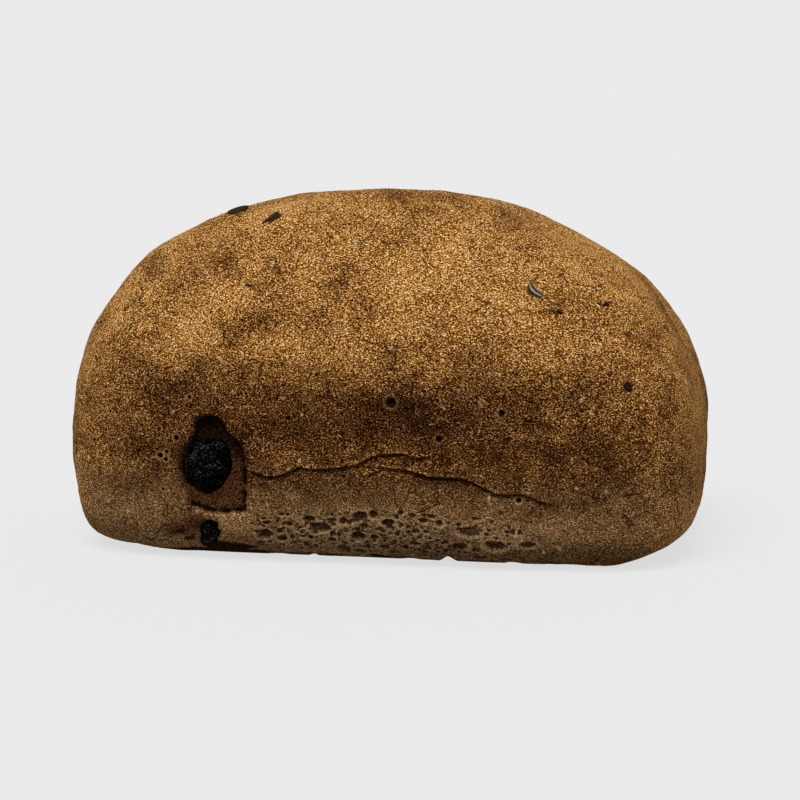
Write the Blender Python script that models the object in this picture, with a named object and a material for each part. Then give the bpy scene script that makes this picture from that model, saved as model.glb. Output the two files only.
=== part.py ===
"""A bread roll baked side by side with others: a tall oval bun with a flat foot, a torn front, two scorched raisins.

X runs along the roll, -Y is its front and Z points up. The origin is the middle of the foot. Units are metres.
"""

import math

import bmesh
import bpy
import numpy as np
from mathutils import Matrix, Vector, noise
from mathutils.bvhtree import BVHTree

MM = 0.001

# Size of the roll.
LENGTH = 130 * MM
DEPTH = 86 * MM
WAIST = 22 * MM
DOME = 50 * MM
# The lower half would end this far under the tray, which presses it flat.
PRESSED = 1.2 * MM

# How square the roll is: 2 is an ellipse, and more is squarer.
DOME_POWER = 2.26
FOOT_POWER = 5.5
PLAN_POWER_LOW = 4.0
PLAN_POWER_TOP = 2.4
# The plan has its top's squareness from where the dome's slope passes this share.
PLAN_TURN = 0.9
# The dome leans to the left and sags a little to the right.
LEAN = -2.6 * MM
SAG = -1.4 * MM

# Soft swellings and hollows: x, y, z of the middle, radius, and height above the plain form, in millimetres.
SWELLS = [
    (17, -8, 71, 15, 0.9),
    (37, -6, 63, 9, -1.0),
    (-1, -40, 43, 10, 1.1),
    (-24, -40, 44, 9, 0.6),
    (24, -40, 43, 9, 0.7),
    (-36, -40, 35, 8, -0.8),
    (8, -43, 31, 11, -0.7),
    (-20, 38, 46, 12, 1.0),
    (22, 37, 44, 13, 0.8),
    (0, 42, 28, 12, -0.8),
    (-58, 6, 44, 12, 0.6),
    (58, 4, 40, 12, 0.7),
    (33.5, -4, 65.6, 1.5, 0.9),
]

# Tears where the rising dough split: height of the line at several places along the roll, in millimetres.
TEAR_LEFT = [(-21, 18.1), (-18, 17.2), (-14, 18.7), (-5, 19.8), (0, 21.2), (4, 22.6), (8, 23.0), (12, 22.4), (16, 21.2)]
TEAR_RIGHT = [(6, 18.8), (11, 19.8), (19, 19.2), (23, 18.8), (28, 16.3), (33, 16.6), (37, 15.0), (41, 14.0)]
TEAR_BACK = [(-38, 17.0), (-30, 18.6), (-20, 18.2), (-8, 20.4), (4, 19.6), (16, 21.4), (27, 19.8), (36, 18.4)]
TEARS = ((TEAR_LEFT, -1), (TEAR_RIGHT, -1), (TEAR_BACK, 1))
TEAR_DEPTH = 1.5 * MM
TEAR_WIDTH = 0.55 * MM
TEAR_TAPER = 5 * MM
# The crust stands this much proud over a tear and sinks as much under it, over this height.
LIP = 0.55 * MM
LIP_REACH = 6 * MM

# Sunk patch round the front raisin: its outline, x and z in millimetres.
PATCH = [(-32.2, 28.4), (-29, 29.4), (-25.8, 27.8), (-22.8, 23.4), (-21.5, 18), (-21.3, 11), (-22.8, 9.8),
         (-28.5, 9.6), (-33.4, 11.4), (-34.8, 18), (-34.2, 23.6), (-32.4, 25.8)]
PATCH_FLOOR = 0.8 * MM
PATCH_SLOPE = 1.2 * MM
PATCH_CREASE = 1.0 * MM
CREASE_WIDTH = 0.7 * MM
# The hollow over the raisin, where the dough came away from it.
HOLLOW = (-29.2 * MM, 26.0 * MM)
HOLLOW_DEPTH = 1.9 * MM
HOLLOW_RADIUS = 3.0 * MM

# Open bubbles low on the front: x, z, half width, half height and depth, in millimetres.
PORES = [
    (-18.0, 4.2, 1.9, 0.9, 1.0), (-15.3, 8.0, 0.9, 0.5, 0.7), (-12.8, 8.9, 0.6, 0.4, 0.5),
    (-9.0, 9.2, 1.3, 0.6, 0.8), (-6.6, 7.2, 2.1, 0.9, 0.8), (-3.6, 9.2, 1.3, 0.5, 0.8),
    (-1.6, 9.1, 0.9, 0.7, 1.0), (1.6, 10.0, 1.6, 1.0, 0.9), (4.2, 11.0, 0.9, 0.7, 1.0),
    (7.2, 9.4, 1.3, 0.8, 0.9), (0.8, 6.6, 1.4, 0.8, 1.2), (4.0, 6.4, 1.1, 0.8, 1.0),
    (-2.4, 3.8, 1.7, 0.8, 0.9), (1.8, 3.4, 1.3, 0.6, 0.9), (6.4, 4.4, 1.6, 0.5, 0.8),
    (9.2, 7.6, 0.8, 0.5, 0.7), (13.6, 9.8, 1.2, 0.6, 0.8), (17.2, 9.8, 1.4, 0.5, 0.7),
    (20.6, 8.4, 2.0, 0.8, 0.8), (19.6, 5.2, 1.5, 0.8, 0.9), (26.8, 6.1, 1.9, 0.8, 1.0),
    (33.0, 5.6, 1.6, 0.6, 0.7), (-13.6, 5.6, 1.1, 0.5, 0.6), (11.6, 5.2, 1.3, 0.5, 0.7),
]
# A burst blister has a rim, at this many radii, this wide in radii and this share of its depth high.
PIT_RIM = 1.6
PIT_RIM_WIDTH = 0.45
PIT_RIM_HEIGHT = 0.18
# Round pits and burst blisters on the crust: x, z, side (-1 front, 1 back), radius and depth, in millimetres.
PITS = [
    (24.5, 65.3, -1, 0.7, 0.8), (44.9, 51.3, -1, 0.7, 0.9), (37.8, 50.2, -1, 0.7, 0.8), (7.2, 32.3, -1, 0.9, 1.0),
    (16.5, 26.1, -1, 0.6, 0.8), (27.7, 31.0, -1, 0.6, 0.7), (-38.0, 15.9, -1, 0.8, 0.8), (-35.6, 19.6, -1, 0.6, 0.7),
    (33.4, 15.4, -1, 0.7, 0.9), (-22, 55, 1, 0.8, 0.8), (31, 33, 1, 0.9, 0.9), (12, 60, 1, 0.7, 0.8),
    (-41, 30, 1, 0.8, 0.9),
]

# Bubbles low on the back follow a rule: a row of small ovals, spaced like those in front.
BACK_PORE_COUNT = 16
BACK_PORE_FROM = -30 * MM
BACK_PORE_STEP = 3.9 * MM

# Caraway seeds stuck to the crust: x, z, side and heading in degrees from the roll's length.
SEED_LENGTH = 4.6 * MM
SEED_WIDTH = 1.15 * MM
SEED_BEND = 0.45 * MM
SEED_SUNK = 0.12 * MM
SEEDS = [(33.1, 53.6, -1, -50), (-21.6, 67.2, -1, 48), (52.2, 35.5, -1, 70), (-32.3, 67.6, -1, 12),
         (14, 66, 1, 35), (-34, 50, 1, -40), (40, 44, 1, 15), (-8, 38, 1, 75)]

# Raisins: x, z, half width, half height, half thickness and how far the middle lies inside the crust, in millimetres.
RAISINS = {
    "raisin_front": (-29.3, 19.1, 4.9, 5.4, 3.2, 1.7),
    "raisin_base": (-28.7, 5.6, 2.1, 2.5, 1.9, 0.9),
}
RAISIN_WRINKLE = 0.32 * MM
RAISIN_GAP = 0.4 * MM

# Length of the mesh's edges on plain crust, under the foot, round its edge and where there is detail.
PLAIN_EDGE = 4.9 * MM
FOOT_EDGE = 9 * MM
RIM_EDGE = 3.4 * MM
RIM_HEIGHT = 7 * MM
PATCH_EDGE = 1.2 * MM
TEAR_EDGE = 1.1 * MM
PORE_EDGE = 0.95 * MM
PIT_EDGE = 0.7 * MM
# Edges keep their short length this far from a detail, then grow by this share of the distance.
EDGE_MARGIN = 0.7 * MM
EDGE_GROWTH = 0.9
# An edge this many times its wanted length is halved, and a corner this close to a tear slides onto it.
TOO_LONG = 1.4
SNAP_SHARE = 0.38
REFINING_PASSES = 6

# Uneven dough: wide low lumps and smaller ripples.
LUMP_SIZE = 11 * MM
LUMP_HEIGHT = 0.45 * MM
RIPPLE_SIZE = 4.5 * MM
RIPPLE_HEIGHT = 0.14 * MM
# All relief fades out over this last height above the foot, which stays flat.
FOOT_FADE = 1.5 * MM


def clear_scene():
    for obj in list(bpy.data.objects):
        bpy.data.objects.remove(obj)


def baked(name, colour, roughness):
    """A dull food material of one colour."""
    material = bpy.data.materials.new(name)
    material.use_nodes = True
    shader = material.node_tree.nodes["Principled BSDF"]
    shader.inputs["Base Color"].default_value = (*colour, 1)
    shader.inputs["Roughness"].default_value = roughness
    shader.inputs["Metallic"].default_value = 0
    return material


def smooth_step(share):
    share = np.clip(share, 0, 1)
    return share * share * (3 - 2 * share)


def plain_form(directions):
    """Points of the roll's plain form in these unit directions from the middle of its waist."""
    across = np.abs(directions)
    upper = directions[:, 2] >= 0
    turn = smooth_step(directions[:, 2] / PLAN_TURN)
    plan = PLAN_POWER_LOW + (PLAN_POWER_TOP - PLAN_POWER_LOW) * turn
    power = np.where(upper, DOME_POWER, FOOT_POWER)
    reach = np.where(upper, DOME, WAIST + PRESSED)
    width = (across[:, 0] / (LENGTH / 2)) ** plan + (across[:, 1] / (DEPTH / 2)) ** plan
    radius = (width ** (power / plan) + (across[:, 2] / reach) ** power) ** (-1 / power)
    points = directions * radius[:, None]
    rise = np.clip(points[:, 2], 0, None) / DOME
    points[:, 0] += LEAN * rise**2
    points[:, 2] += WAIST + SAG * points[:, 0] / (LENGTH / 2) * rise
    points[:, 2] = np.maximum(points[:, 2], 0)
    return points


def distance_to_line(points, line, side):
    """Signed height of the points over a tear, and how much of the tear is there, from 0 at its ends to 1."""
    stations = np.array(line) * MM
    height = np.interp(points[:, 0], stations[:, 0], stations[:, 1])
    inside = np.minimum(points[:, 0] - stations[0, 0], stations[-1, 0] - points[:, 0])
    present = smooth_step(inside / TEAR_TAPER + 0.35) * (points[:, 1] * side > 0)
    return points[:, 2] - height, present


def inside_patch(points):
    """How far inside the sunk patch's outline each point lies, negative outside it."""
    outline = np.array(PATCH) * MM
    place = points[:, [0, 2]]
    nearest = np.full(len(points), np.inf)
    crossings = np.zeros(len(points), int)
    for start, end in zip(outline, np.roll(outline, -1, axis=0)):
        along = end - start
        share = np.clip((place - start) @ along / (along @ along), 0, 1)
        nearest = np.minimum(nearest, np.linalg.norm(place - start - share[:, None] * along, axis=1))
        spans = (start[1] > place[:, 1]) != (end[1] > place[:, 1])
        run = np.divide(place[:, 1] - start[1], along[1]) if along[1] else np.zeros(len(points))
        crossings += spans & (place[:, 0] < start[0] + run * along[0])
    inside = np.where(crossings % 2 == 1, nearest, -nearest)
    return np.where(points[:, 1] < 0, inside, -1)


def back_pores():
    """The row of bubbles low on the back, as (x, z, half width, half height, depth) in millimetres."""
    pores = []
    for index in range(BACK_PORE_COUNT):
        x = (BACK_PORE_FROM + index * BACK_PORE_STEP) / MM
        z = 7 + 2.6 * math.sin(index * 2.4)
        pores.append((x, z, 1.2 + 0.5 * math.sin(index * 1.7), 0.65, 0.8))
    return pores


def dimple(points, place, half_width, half_height):
    """1 in the middle of an oval dimple, falling to 0 at its rim."""
    offset = points - place
    flat = np.hypot(offset[:, 0] / half_width, np.hypot(offset[:, 1], offset[:, 2]) / half_height)
    return smooth_step(1.25 - flat)


def noise_field(points, size):
    return np.array([noise.noise(Vector(point / size)) for point in points])


class Crust:
    """The places on the plain form where the details lie, and the relief that they make."""

    def __init__(self, tree):
        self.tree = tree
        self.pores = [(self.place(x, z, -1)[0], width * MM, height * MM, depth * MM)
                      for x, z, width, height, depth in PORES]
        self.pores += [(self.place(x, z, 1)[0], width * MM, height * MM, depth * MM)
                       for x, z, width, height, depth in back_pores()]
        self.pits = [(self.place(x, z, side)[0], radius * MM, depth * MM)
                     for x, z, side, radius, depth in PITS]

    def place(self, x, z, side):
        """Point and outward normal of the crust at x and z, in millimetres, on the front or the back."""
        start = Vector((x * MM, side * DEPTH, z * MM))
        point, normal, _, _ = self.tree.ray_cast(start, Vector((0, -side, 0)))
        return np.array(point), np.array(normal)

    def wanted_edge(self, points):
        """Length that the mesh's edges should have here: short at each detail and longer away from it."""
        inside = inside_patch(points)
        gaps = [(np.maximum(-inside - EDGE_MARGIN, 0), PATCH_EDGE)]
        for line, side in TEARS:
            over, _ = distance_to_line(points, line, side)
            past_end = np.maximum(line[0][0] * MM - points[:, 0], points[:, 0] - line[-1][0] * MM)
            behind = np.where(points[:, 1] * side > 0, 0, LENGTH)
            away = np.hypot(np.maximum(np.abs(over) - EDGE_MARGIN, 0), np.maximum(past_end, 0))
            gaps.append((away + behind, TEAR_EDGE))
        for place, width, _, _ in self.pores:
            gaps.append((np.maximum(np.linalg.norm(points - place, axis=1) - width, 0), PORE_EDGE))
        for place, radius, _ in self.pits:
            away = np.linalg.norm(points - place, axis=1)
            gaps.append((np.maximum(away - PIT_RIM * radius, 0), PIT_EDGE))
        edge = np.where(points[:, 2] < RIM_HEIGHT, RIM_EDGE, PLAIN_EDGE)
        edge = np.where(points[:, 2] == 0, FOOT_EDGE, edge)
        for gap, shortest in gaps:
            edge = np.minimum(edge, shortest + EDGE_GROWTH * gap)
        return edge

    def relief(self, points):
        """Height of the crust over the plain form at these points of it, along its normal."""
        height = LUMP_HEIGHT * noise_field(points, LUMP_SIZE) + RIPPLE_HEIGHT * noise_field(points, RIPPLE_SIZE)
        for x, y, z, radius, rise in SWELLS:
            away = np.linalg.norm(points - np.array((x, y, z)) * MM, axis=1)
            height += rise * MM * np.exp(-((away / (radius * MM)) ** 2))
        for line, side in TEARS:
            over, present = distance_to_line(points, line, side)
            lip = np.where(over > 0, LIP, -LIP) * np.exp(-np.abs(over) / LIP_REACH)
            split = TEAR_DEPTH * np.exp(-((over / TEAR_WIDTH) ** 2))
            height += present * (lip - split)
        inside = inside_patch(points)
        sunk = smooth_step(inside / PATCH_SLOPE)
        crease = np.exp(-(((inside - CREASE_WIDTH) / CREASE_WIDTH) ** 2))
        height -= PATCH_FLOOR * sunk + PATCH_CREASE * crease
        hollow = np.hypot(points[:, 0] - HOLLOW[0], points[:, 2] - HOLLOW[1]) / HOLLOW_RADIUS
        height -= HOLLOW_DEPTH * sunk * smooth_step(1.3 - hollow)
        for place, width, tall, depth in self.pores:
            height -= depth * dimple(points, place, width, tall)
        for place, radius, depth in self.pits:
            away = np.linalg.norm(points - place, axis=1) / radius
            height -= depth * smooth_step(1.4 - away)
            height += PIT_RIM_HEIGHT * depth * np.exp(-(((away - PIT_RIM) / PIT_RIM_WIDTH) ** 2))
        above_foot = smooth_step(points[:, 2] / FOOT_FADE)
        return height * above_foot


def vertex_points(bm):
    return np.array([vertex.co for vertex in bm.verts])


def move_to(bm, points):
    for vertex, point in zip(bm.verts, points):
        vertex.co = point
    bm.normal_update()


def onto_plain_form(bm):
    arms = vertex_points(bm) - np.array((0, 0, WAIST))
    move_to(bm, plain_form(arms / np.linalg.norm(arms, axis=1)[:, None]))


def split_long_edges(bm, crust):
    """Halves the edges that are too long, then evens out the triangles."""
    middles = np.array([(edge.verts[0].co + edge.verts[1].co) / 2 for edge in bm.edges])
    wanted = crust.wanted_edge(middles)
    long_edges = [edge for edge, length in zip(bm.edges, wanted) if edge.calc_length() > TOO_LONG * length]
    if not long_edges:
        return False
    bmesh.ops.subdivide_edges(bm, edges=long_edges, cuts=1)
    bmesh.ops.triangulate(bm, faces=bm.faces[:])
    even_out(bm)
    for _ in range(2):
        bmesh.ops.smooth_vert(bm, verts=bm.verts, factor=0.5, use_axis_x=True, use_axis_y=True, use_axis_z=True)
        onto_plain_form(bm)
    return True


def even_out(bm):
    """Turns edges round where that gives better-shaped triangles."""
    bmesh.ops.beautify_fill(bm, faces=bm.faces[:], edges=bm.edges[:], method="ANGLE")


def line_up_with_tears(bm):
    """Slides the corners nearest to each tear onto its line, so that the groove runs unbroken."""
    points = vertex_points(bm)
    for line, side in TEARS:
        over, present = distance_to_line(points, line, side)
        near = (np.abs(over) < SNAP_SHARE * TEAR_EDGE) & (present > 0)
        points[:, 2] -= np.where(near, over, 0)
    move_to(bm, points)
    onto_plain_form(bm)
    even_out(bm)


def bread_object():
    """The roll's own solid: plain form, refined where there is detail, then given its relief."""
    bm = bmesh.new()
    bmesh.ops.create_icosphere(bm, subdivisions=4, radius=1, matrix=Matrix.Translation((0, 0, WAIST)))
    onto_plain_form(bm)
    crust = Crust(BVHTree.FromBMesh(bm))
    for _ in range(REFINING_PASSES):
        if not split_long_edges(bm, crust):
            break
    line_up_with_tears(bm)
    points = vertex_points(bm)
    normals = np.array([vertex.normal for vertex in bm.verts])
    moved = points + normals * crust.relief(points)[:, None]
    moved[:, 2] = np.maximum(moved[:, 2], 0)
    move_to(bm, moved)
    bread = as_object(bm, "bread")
    return bread, crust


def as_object(bm, name):
    mesh = bpy.data.meshes.new(name)
    bm.to_mesh(mesh)
    bm.free()
    mesh.shade_smooth()
    obj = bpy.data.objects.new(name, mesh)
    bpy.context.collection.objects.link(obj)
    return obj


def standing_on(point, normal, heading):
    """A frame with Z out of the crust and X turned by heading, in degrees, from the roll's length."""
    outward = Vector(normal).normalized()
    along = Vector((1, 0, 0)) - outward * outward.x
    along.normalize()
    across = outward.cross(along)
    turn = Matrix((along, across, outward)).transposed()
    return Matrix.Translation(point) @ turn.to_4x4() @ Matrix.Rotation(math.radians(heading), 4, "Z")


def caraway_seed(name, frame):
    """A small spindle, bent like a moon, half sunk in the crust."""
    bm = bmesh.new()
    bmesh.ops.create_uvsphere(bm, u_segments=5, v_segments=5, radius=0.5)
    bmesh.ops.rotate(bm, verts=bm.verts, matrix=Matrix.Rotation(math.radians(90), 3, "Y"))
    for vertex in bm.verts:
        share = vertex.co.x * 2
        vertex.co.x *= SEED_LENGTH
        vertex.co.y = vertex.co.y * SEED_WIDTH + SEED_BEND * share**2
        vertex.co.z = vertex.co.z * SEED_WIDTH - SEED_SUNK
    bmesh.ops.transform(bm, matrix=frame, verts=bm.verts)
    return as_object(bm, name)


def raisin(name, frame, halves, grown):
    """A wrinkled raisin: an oval lump with blunt dents. grown widens it all round, for its bed in the crust."""
    bm = bmesh.new()
    bmesh.ops.create_icosphere(bm, subdivisions=4 if halves[0] > 3 * MM else 3, radius=1)
    for vertex in bm.verts:
        direction = vertex.co.normalized()
        dent = noise.noise(direction * 1.7 + Vector((3, 1, 2))) + 0.5 * noise.noise(direction * 4.1)
        bulk = 1 + RAISIN_WRINKLE / halves[2] * dent
        vertex.co = Vector([part * half * bulk + part * grown for part, half in zip(direction, halves)])
    bmesh.ops.transform(bm, matrix=frame, verts=bm.verts)
    return as_object(bm, name)


def join_seeds(bread):
    """One Boolean union grows the seeds onto the roll."""
    seeds = bpy.data.collections.new("seeds")
    bpy.context.scene.collection.children.link(seeds)
    tree = tree_of(bread)
    for index, (x, z, side, heading) in enumerate(SEEDS):
        start = Vector((x * MM, side * DEPTH, z * MM))
        point, normal, _, _ = tree.ray_cast(start, Vector((0, -side, 0)))
        seed = caraway_seed(f"seed_{index}", standing_on(point, normal, heading))
        bpy.context.collection.objects.unlink(seed)
        seeds.objects.link(seed)
    apply_boolean(bread, "UNION", seeds)


def tree_of(obj):
    return BVHTree.FromObject(obj, bpy.context.evaluated_depsgraph_get())


def apply_boolean(target, operation, collection):
    """Joins or cuts with a whole collection, then removes its objects."""
    modifier = target.modifiers.new("join", "BOOLEAN")
    modifier.operation = operation
    modifier.operand_type = "COLLECTION"
    modifier.collection = collection
    modifier.solver = "EXACT"
    bpy.context.view_layer.objects.active = target
    bpy.ops.object.modifier_apply(modifier=modifier.name)
    for obj in list(collection.objects):
        bpy.data.objects.remove(obj)
    bpy.data.collections.remove(collection)


def bed_raisins(bread, crust, finish):
    """Places the raisins and cuts a slightly wider bed for each."""
    beds = bpy.data.collections.new("beds")
    bpy.context.scene.collection.children.link(beds)
    for name, (x, z, half_width, half_height, half_thick, inset) in RAISINS.items():
        point, normal = crust.place(x, z, -1)
        frame = standing_on(point - normal * inset * MM, normal, 0)
        halves = (half_width * MM, half_height * MM, half_thick * MM)
        fruit = raisin(name, frame, halves, 0)
        fruit.data.materials.append(finish)
        bed = raisin(f"{name}_bed", frame, halves, RAISIN_GAP)
        bpy.context.collection.objects.unlink(bed)
        beds.objects.link(bed)
    apply_boolean(bread, "DIFFERENCE", beds)


def build():
    clear_scene()
    crust_brown = baked("crust brown", (0.33, 0.165, 0.06), 0.75)
    scorched = baked("scorched raisin", (0.012, 0.011, 0.009), 0.55)
    bread, crust = bread_object()
    bread.data.materials.append(crust_brown)
    join_seeds(bread)
    bed_raisins(bread, crust, scorched)


build()
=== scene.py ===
"""A raisin and caraway bread roll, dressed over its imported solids.

X runs along the roll, -Y is its torn front and Z points up. Values are metres, and lists of
places are in millimetres.
"""

import math

import bpy
import numpy as np
from mathutils import Matrix, Vector, noise
from mathutils.bvhtree import BVHTree


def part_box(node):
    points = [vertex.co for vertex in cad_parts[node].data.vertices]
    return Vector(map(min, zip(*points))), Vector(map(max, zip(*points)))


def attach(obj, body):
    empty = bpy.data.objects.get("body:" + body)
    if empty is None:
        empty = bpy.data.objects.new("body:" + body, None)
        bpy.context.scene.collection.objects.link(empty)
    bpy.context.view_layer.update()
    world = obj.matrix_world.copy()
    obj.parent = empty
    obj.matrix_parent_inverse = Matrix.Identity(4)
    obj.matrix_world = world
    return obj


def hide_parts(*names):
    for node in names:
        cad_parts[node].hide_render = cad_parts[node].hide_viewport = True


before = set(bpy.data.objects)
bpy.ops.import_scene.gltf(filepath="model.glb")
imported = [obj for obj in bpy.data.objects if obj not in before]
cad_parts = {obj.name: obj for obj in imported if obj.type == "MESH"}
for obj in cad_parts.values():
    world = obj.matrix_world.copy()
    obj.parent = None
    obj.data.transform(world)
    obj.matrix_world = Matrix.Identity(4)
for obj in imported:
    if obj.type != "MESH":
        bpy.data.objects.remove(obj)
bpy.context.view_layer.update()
MM = 0.001


# The roll's form. Dense dark dough is shaped to an oval, proved and baked on a tray: it rises to a full dome
# over straight sides, leans a little, and keeps the tray's flat foot.
LENGTH = 130 * MM
DEPTH = 86 * MM
WAIST = 22 * MM
DOME = 50 * MM
PRESSED = 1.2 * MM
DOME_POWER = 2.26
FOOT_POWER = 5.5
PLAN_POWER_LOW = 4.9
PLAN_POWER_TOP = 2.4
PLAN_TURN = 0.9
LEAN = -2.6 * MM
SAG = -1.4 * MM


def smooth_step(share):
    """0 below 0, 1 above 1, and a smooth step between."""
    share = np.clip(share, 0, 1)
    return share * share * (3 - 2 * share)


def plain_form(directions):
    """Points of the roll's plain form in these unit directions from the middle of its waist."""
    across = np.abs(directions)
    upper = directions[:, 2] >= 0
    turn = smooth_step(directions[:, 2] / PLAN_TURN)
    plan = PLAN_POWER_LOW + (PLAN_POWER_TOP - PLAN_POWER_LOW) * turn
    power = np.where(upper, DOME_POWER, FOOT_POWER)
    reach = np.where(upper, DOME, WAIST + PRESSED)
    width = (across[:, 0] / (LENGTH / 2)) ** plan + (across[:, 1] / (DEPTH / 2)) ** plan
    radius = (width ** (power / plan) + (across[:, 2] / reach) ** power) ** (-1 / power)
    points = directions * radius[:, None]
    rise = np.clip(points[:, 2], 0, None) / DOME
    points[:, 0] += LEAN * rise**2
    points[:, 2] += WAIST + SAG * points[:, 0] / (LENGTH / 2) * rise
    points[:, 2] = np.maximum(points[:, 2], 0)
    return points


def corners(piece):
    places = np.empty(len(piece.data.vertices) * 3)
    piece.data.vertices.foreach_get("co", places)
    return places.reshape(-1, 3)


def move_corners(piece, places):
    piece.data.vertices.foreach_set("co", places.ravel())
    piece.data.update()


def onto_plain_form(piece):
    arms = corners(piece) - np.array((0, 0, WAIST))
    move_corners(piece, plain_form(arms / np.linalg.norm(arms, axis=1)[:, None]))


def deselect_all():
    bpy.ops.object.select_all(action="DESELECT")


deselect_all()
bpy.ops.mesh.primitive_ico_sphere_add(subdivisions=5, radius=WAIST, location=(0, 0, WAIST))
bread = bpy.context.object
bread.name = bread.data.name = "bread_crust"
bpy.ops.object.transform_apply(location=True, rotation=True, scale=True)
onto_plain_form(bread)


# The foot's front edge doesn't quite touch the table everywhere: x, half width and height of each gap.
FOOT_GAPS = [
    (17.2, 1.5, 1.25), (-9.8, 1.5, 0.65), (9.5, 3, 0.5), (-17, 4, 0.45), (-4, 42, 0.35), (30, 2, 0.5),
]
FOOT_GAP_FROM = -24 * MM
FOOT_GAP_FADE = 6 * MM
FOOT_GAP_TOP = 3 * MM


def bell(distance):
    """1 at no distance, and almost nothing at 2."""
    return np.exp(-(distance**2))


def foot_lift(points):
    """How far the foot's front edge stands off the table."""
    lift = np.zeros(len(points))
    for x, half_width, rise in FOOT_GAPS:
        lift = np.maximum(lift, rise * MM * bell((points[:, 0] / MM - x) / half_width))
    lift *= smooth_step((FOOT_GAP_FROM - points[:, 1]) / FOOT_GAP_FADE)
    return lift * smooth_step(1 - points[:, 2] / FOOT_GAP_TOP)


# Swellings of the dough, as x, y, z, radius and height, over uneven lumps and a finely dried skin.
SWELLS = [
    (17, -8, 71, 15, 0.9), (37, -6, 63, 9, -1.5), (-1, -40, 43, 10, 1.1), (-24, -40, 44, 9, 0.6),
    (24, -40, 43, 9, 0.7), (-36, -40, 35, 8, -0.8), (8, -43, 31, 11, -0.7), (-20, 38, 46, 12, 1.0),
    (22, 37, 44, 13, 0.8), (0, 42, 28, 12, -0.8), (-54, -4, 54, 8, 0.8), (-61, -2, 44, 9, -0.3),
    (61, 8, 42, 11, -1.0), (-63, -28, 27, 20, -1.35), (-63, -28, 8, 7, -1.9), (63, 6, 6, 6, -0.5),
    (49, -33, 2, 7, 0.85), (-54, -30, 2, 6, 0.5), (-23, -6, 71, 9, -0.9), (28, -10, 66, 6, -0.4),
    (17.5, -41, 1.5, 3, -0.7), (-13, -41, 1, 4, 0.3), (3, -41, 1, 5, -0.3), (31, -41, 1, 5, 0.4),
    (33.5, -4, 65.6, 1.5, 0.9),
]
LUMP_SIZE = 11 * MM
LUMP_HEIGHT = 0.45 * MM
RIPPLE_SIZE = 4.5 * MM
RIPPLE_HEIGHT = 0.14 * MM
SKIN_SIZE = 2.6 * MM
SKIN_HEIGHT = 0.09 * MM
# All relief fades out over this last height above the foot.
FOOT_FADE = 0.7 * MM


def noise_field(points, size, shift=0.0):
    """Smooth noise from -1 to 1, with lumps of this size."""
    return np.array([noise.noise(Vector(point)) for point in points / size + shift])


def dough_relief(points):
    """How far lumps, swellings and the dried skin raise the crust."""
    height = LUMP_HEIGHT * noise_field(points, LUMP_SIZE) + RIPPLE_HEIGHT * noise_field(points, RIPPLE_SIZE)
    for x, y, z, radius, rise in SWELLS:
        away = np.linalg.norm(points - np.array((x, y, z)) * MM, axis=1)
        height += rise * MM * bell(away / (radius * MM))
    folds = 1 - 2 * np.abs(noise_field(points, SKIN_SIZE, 31.7))
    return height + SKIN_HEIGHT * folds


# The tears. The sides split sideways as the dome rose: the crust above hangs over a ragged crack, and the
# dough under it shows paler. Each is a list of x and height along the roll, its side and its share of depth.
TEAR_LEFT = [
    (-20.9, 18.4), (-19.2, 18.2), (-17.2, 17.6), (-15.3, 17.7), (-12.9, 18.6), (-10.7, 19.7),
    (-8.5, 19.4), (-5.1, 19.4), (-2.1, 19.9), (1.1, 20.6), (2.4, 21.4), (3.7, 22.2), (6.8, 22.7),
    (9.8, 22.8), (12.3, 22.1), (15.2, 22.3),
]
TEAR_RIGHT = [
    (4.8, 19.9), (8, 19.8), (11, 19.4), (12.9, 18.8), (14.7, 18.5), (18.9, 18.3), (20.7, 18.4),
    (22.5, 17.9), (24.4, 17.0), (26, 16.3), (27.7, 15.5), (30.1, 15.5), (32.9, 15.7), (34.3, 15.1),
    (36.2, 14.3), (39.1, 13.5),
]
TEAR_FOLD = [(1.2, 18.0), (3.0, 18.3), (4.6, 19.0), (6.4, 19.4)]
TEAR_BACK = [(-38, 17.0), (-30, 18.6), (-20, 18.2), (-8, 20.4), (4, 19.6), (16, 21.4), (27, 19.8), (36, 18.4)]
TEARS = ((TEAR_LEFT, -1, 1), (TEAR_RIGHT, -1, 0.9), (TEAR_FOLD, -1, 0.45), (TEAR_BACK, 1, 1))
TEAR_DEPTH = 0.75 * MM
TEAR_TAPER = 5 * MM
TEAR_SLOPE = 0.45 * MM
TEAR_EDGE = 0.12 * MM
CREASE_LINE = 0.095 * MM
LIP = 0.42 * MM
LIP_REACH = 5 * MM
LIP_DROOP = 0.3 * MM
DROOP_REACH = 0.6 * MM
FINE_WOBBLE = 0.12 * MM
FINE_WOBBLE_SIZE = 0.8 * MM
TEAR_END = 0.35
TEAR_PATCHES = 2.6 * MM
USUAL_SPLIT = 0.72
SPLIT_CHANGE = 1.1
SPLIT_LIMITS = (0.2, 1.1)
CREASE_DROP = 0.08 * MM
PALE_LIP_HEIGHT = 0.4 * MM
PALE_LIP_WIDTH = 0.25 * MM


def over_tear(points, line, side):
    """Signed height of the points over a tear, and how much of the tear is there, from 0 at its ends to 1."""
    stations = np.array(line) * MM
    height = np.interp(points[:, 0], stations[:, 0], stations[:, 1])
    inside = np.minimum(points[:, 0] - stations[0, 0], stations[-1, 0] - points[:, 0])
    present = smooth_step(inside / TEAR_TAPER + TEAR_END) * (points[:, 1] * side > 0)
    return points[:, 2] - height, present


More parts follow.
